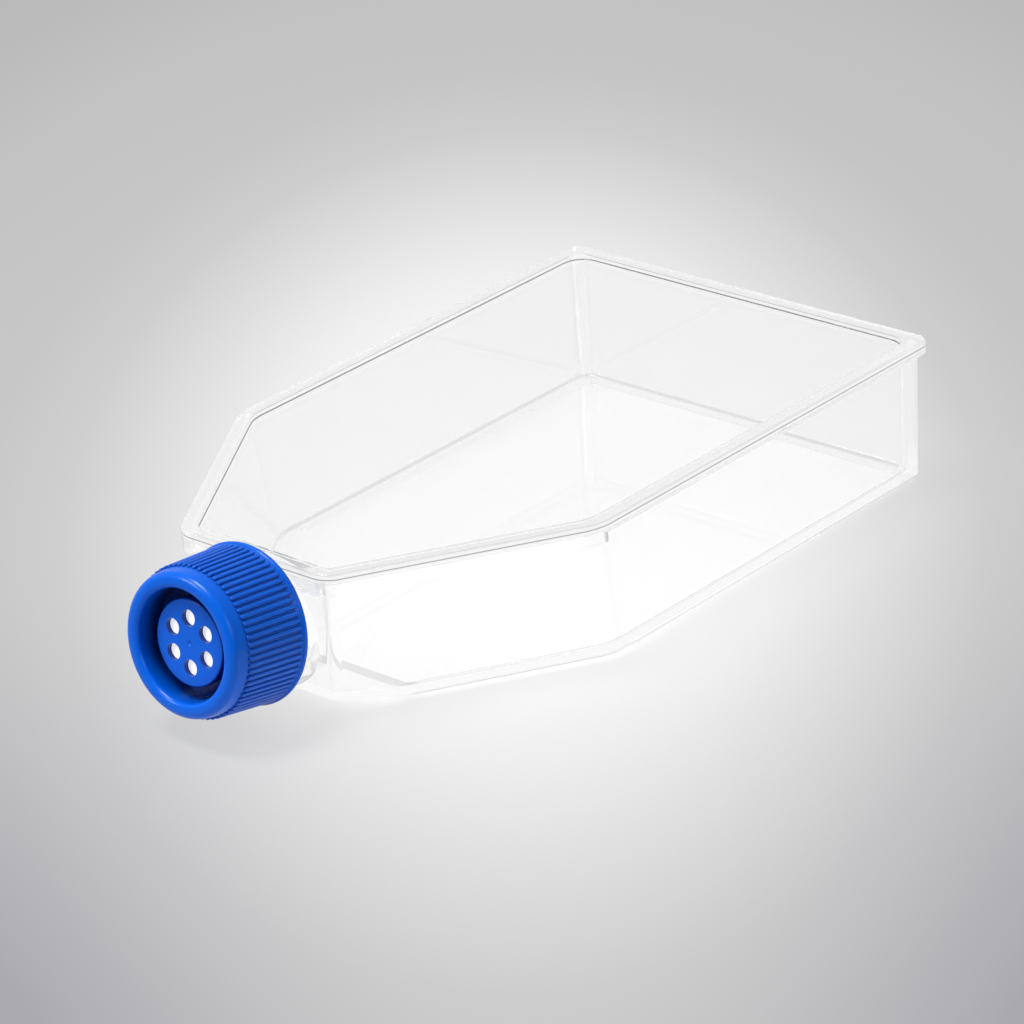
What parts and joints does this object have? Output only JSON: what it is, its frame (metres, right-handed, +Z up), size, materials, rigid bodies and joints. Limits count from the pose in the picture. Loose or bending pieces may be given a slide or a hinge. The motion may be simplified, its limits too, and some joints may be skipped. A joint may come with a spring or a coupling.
{
  "type": "cell culture flask",
  "caption": "Clear flat culture flask on its base, with shoulders, a ramped floor, an upturned neck, a welded top plate and a ribbed vented screw cap.",
  "frame": {"origin": "centre of the whole flask's length and width, at the table under its foot rim", "axes": "+X across the flask, +Y from the cap to the back, +Z up; it lies on its growth floor"},
  "size_m": [0.1194, 0.221, 0.0439],
  "materials": {
    "clear_body": "clear moulded polystyrene, polished",
    "clear_plate": "clear moulded polystyrene, polished",
    "blue_cap": "blue moulded polyethylene, satin",
    "membrane": "white porous film, matt"
  },
  "bodies": {
    "flask": {"flask_body": "clear_body", "top_plate": "clear_plate"},
    "vent": {"vent_membrane": "membrane"},
    "cap": {"screw_cap": "blue_cap"}
  },
  "joints": [
    {"name": "cap_travel", "type": "slide", "parent": "flask", "child": "vent", "axis": [0, -0.9901, 0.14], "range_m": [0, 0.0232]},
    {"name": "cap_turn", "type": "hinge", "parent": "vent", "child": "cap", "pos_m": [0, -0.10619, 0.02555], "axis": [0, -0.9901, 0.14], "range_deg": [0, 2070]}
  ],
  "couplings": [
    {"joint": "cap_travel", "follows": "cap_turn", "m_per_rad": 0.00063662}
  ]
}
